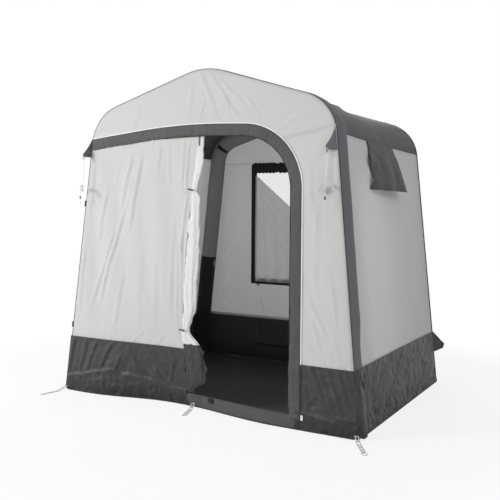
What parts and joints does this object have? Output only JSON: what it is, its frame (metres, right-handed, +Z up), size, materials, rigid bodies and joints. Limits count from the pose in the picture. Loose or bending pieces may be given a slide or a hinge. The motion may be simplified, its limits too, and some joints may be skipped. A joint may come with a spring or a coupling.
{
  "type": "inflatable storage tent",
  "caption": "Gabled inflatable storage tent on two air beams, with a rolled-back zip door, mud skirts, sewn-in floor, rear window, side vent hood and guy lines.",
  "frame": {"origin": "on the ground under the middle of the floor, midway between the two side walls and between the front and back walls", "axes": "+Z up, front with the door faces -Y, +X to the right seen from the front"},
  "size_m": [2.1495, 1.8423, 2.0021],
  "materials": {
    "light_cloth": "matt coated polyester",
    "side_cloth": "matt coated polyester",
    "roof_cloth": "matt coated polyester",
    "sleeve_cloth": "matt coated polyester",
    "skirt_cloth": "coated heavy polyester",
    "cover_cloth": "matt coated polyester",
    "floor_cloth": "coated groundsheet",
    "black_cloth": "matt webbing and tape",
    "curtain_cloth": "thin sheer polyester",
    "mesh_cloth": "fine insect mesh",
    "black_plastic": "moulded",
    "valve_plastic": "moulded",
    "white_plastic": "moulded",
    "beam_film": "smooth welded film",
    "window_film": "clear flexible film",
    "guy_cord": "braided cord",
    "strap_rubber": "moulded, slightly glossy",
    "ring_steel": "plated wire"
  },
  "bodies": {
    "tent": {"front_gable_panel": "light_cloth", "front_left_panel": "light_cloth", "front_right_panel": "light_cloth", "door_curtain": "light_cloth", "right_wall": "side_cloth", "left_wall": "side_cloth", "back_wall": "side_cloth", "roof_panel": "roof_cloth", "front_beam_sleeve": "sleeve_cloth", "rear_beam_sleeve": "sleeve_cloth", "guy_gusset_right": "sleeve_cloth", "guy_gusset_left": "sleeve_cloth", "right_skirt": "skirt_cloth", "left_skirt": "skirt_cloth", "back_skirt": "skirt_cloth", "front_left_skirt": "skirt_cloth", "front_right_skirt": "skirt_cloth", "door_curtain_skirt": "skirt_cloth", "door_sill": "skirt_cloth", "door_zip_cover": "cover_cloth", "groundsheet": "floor_cloth", "beam_strap": "black_cloth", "window_frame": "black_cloth", "window_blind_roll": "black_cloth", "tie_band_upper": "black_cloth", "tie_band_lower": "black_cloth", "sill_patch": "black_cloth", "door_zip_chain": "black_cloth", "window_drape": "curtain_cloth", "vent_mesh": "mesh_cloth", "front_valve": "valve_plastic", "rear_valve": "valve_plastic", "door_zip_box": "white_plastic", "front_air_beam": "beam_film", "rear_air_beam": "beam_film", "window_pane": "window_film"},
    "zip_slider": {"door_zip_slider": "black_plastic"},
    "zip_pull": {"door_zip_pull": "black_plastic"},
    "vent_hood": {"vent_hood": "roof_cloth"},
    "hood_toggle": {"hood_toggle": "black_plastic"},
    "upper_tie_toggle": {"tie_toggle_upper": "black_plastic"},
    "lower_tie_toggle": {"tie_toggle_lower": "black_plastic"},
    "upper_corner_toggle": {"corner_toggle_upper": "black_plastic"},
    "lower_corner_toggle": {"corner_toggle_lower": "black_plastic"},
    "drape_toggle": {"drape_toggle": "black_plastic"},
    "right_guy": {"guy_ring_right": "black_plastic", "guy_line_right": "guy_cord", "guy_hank_right": "guy_cord"},
    "right_runner": {"guy_runner_right": "black_plastic"},
    "left_guy": {"guy_ring_left": "black_plastic", "guy_line_left": "guy_cord", "guy_hank_left": "guy_cord"},
    "left_runner": {"guy_runner_left": "black_plastic"},
    "right_peg_strap": {"peg_strap_right": "strap_rubber"},
    "left_peg_strap": {"peg_strap_left": "strap_rubber"},
    "door_peg_strap": {"peg_strap_door": "strap_rubber"},
    "peg_ring": {"peg_ring": "ring_steel"},
    "front_valve_cap": {"front_valve_cap": "valve_plastic"},
    "rear_valve_cap": {"rear_valve_cap": "valve_plastic"},
    "rear_valve_flap": {"rear_valve_flap": "skirt_cloth"}
  },
  "joints": [
    {"name": "door_zip_slide", "type": "slide", "parent": "tent", "child": "zip_slider", "axis": [0.9995, -0.0007, -0.0317], "range_m": [0, 0.25]},
    {"name": "zip_pull_swing", "type": "hinge", "parent": "zip_slider", "child": "zip_pull", "pos_m": [-0.01684, -0.74036, 1.61829], "axis": [0, 1, 0], "range_deg": [-45, 45]},
    {"name": "vent_hood_lift", "type": "hinge", "parent": "tent", "child": "vent_hood", "pos_m": [0.81988, -0.03, 1.57424], "axis": [0, -1, 0], "range_deg": [0, 70]},
    {"name": "hood_toggle_swing", "type": "hinge", "parent": "vent_hood", "child": "hood_toggle", "pos_m": [0.89606, -0.06797, 1.30717], "axis": [-0.9492, 0.2219, -0.2233], "range_deg": [-25, 25]},
    {"name": "upper_tie_toggle_turn", "type": "hinge", "parent": "tent", "child": "upper_tie_toggle", "pos_m": [-0.06466, -0.75873, 1.285], "axis": [0, -1, 0], "range_deg": [-40, 40]},
    {"name": "lower_tie_toggle_turn", "type": "hinge", "parent": "tent", "child": "lower_tie_toggle", "pos_m": [-0.10873, -0.76491, 0.465], "axis": [0, -1, 0], "range_deg": [-40, 40]},
    {"name": "upper_corner_toggle_swing", "type": "hinge", "parent": "tent", "child": "upper_corner_toggle", "pos_m": [-0.87153, -0.74205, 1.21789], "axis": [0, 1, 0], "range_deg": [0, 70]},
    {"name": "lower_corner_toggle_swing", "type": "hinge", "parent": "tent", "child": "lower_corner_toggle", "pos_m": [-0.95678, -0.75965, 0.44289], "axis": [0, 1, 0], "range_deg": [0, 70]},
    {"name": "drape_toggle_turn", "type": "hinge", "parent": "tent", "child": "drape_toggle", "pos_m": [-0.4232, 0.74797, 0.6004], "axis": [0, -0.9997, -0.0227], "range_deg": [-30, 30]},
    {"name": "right_guy_swing", "type": "hinge", "parent": "tent", "child": "right_guy", "pos_m": [0.78394, -0.75902, 1.49299], "axis": [0, -1, 0], "range_deg": [-40, 40]},
    {"name": "right_runner_slide", "type": "slide", "parent": "right_guy", "child": "right_runner", "axis": [0, 0, 1], "range_m": [-0.025, 0.045]},
    {"name": "left_guy_swing", "type": "hinge", "parent": "tent", "child": "left_guy", "pos_m": [-0.84757, -0.78796, 1.49305], "axis": [-1, 0, 0], "range_deg": [0, 60]},
    {"name": "left_runner_slide", "type": "slide", "parent": "left_guy", "child": "left_runner", "axis": [0, 0, 1], "range_m": [-0.025, 0.045]},
    {"name": "right_peg_strap_lift", "type": "hinge", "parent": "tent", "child": "right_peg_strap", "pos_m": [0.9879, -0.77636, 0.024], "axis": [-1, 0, 0], "range_deg": [0, 60]},
    {"name": "left_peg_strap_lift", "type": "hinge", "parent": "tent", "child": "left_peg_strap", "pos_m": [-0.9879, -0.77636, 0.024], "axis": [-1, 0, 0], "range_deg": [0, 60]},
    {"name": "door_peg_strap_lift", "type": "hinge", "parent": "tent", "child": "door_peg_strap", "pos_m": [-0.06592, -0.69184, 0.024], "axis": [-0.9925, 0.122, 0], "range_deg": [0, 60]},
    {"name": "peg_ring_lift", "type": "hinge", "parent": "right_peg_strap", "child": "peg_ring", "pos_m": [1.09287, -0.95069, 0.0043], "axis": [-0.8567, -0.5158, 0], "range_deg": [0, 110]},
    {"name": "front_valve_cap_turn", "type": "hinge", "parent": "tent", "child": "front_valve_cap", "pos_m": [0.99153, -0.69368, 0.26727], "axis": [0.994, 0, 0.1093], "range_deg": [0, 270]},
    {"name": "rear_valve_cap_turn", "type": "hinge", "parent": "tent", "child": "rear_valve_cap", "pos_m": [0.90992, 0.76964, 0.25843], "axis": [0, 0.9997, 0.0227], "range_deg": [0, 270]},
    {"name": "rear_valve_flap_fold", "type": "hinge", "parent": "tent", "child": "rear_valve_flap", "pos_m": [0.97346, 0.7684, 0.28214], "axis": [-0.1093, -0.0226, 0.9938], "range_deg": [-40, 40]}
  ]
}
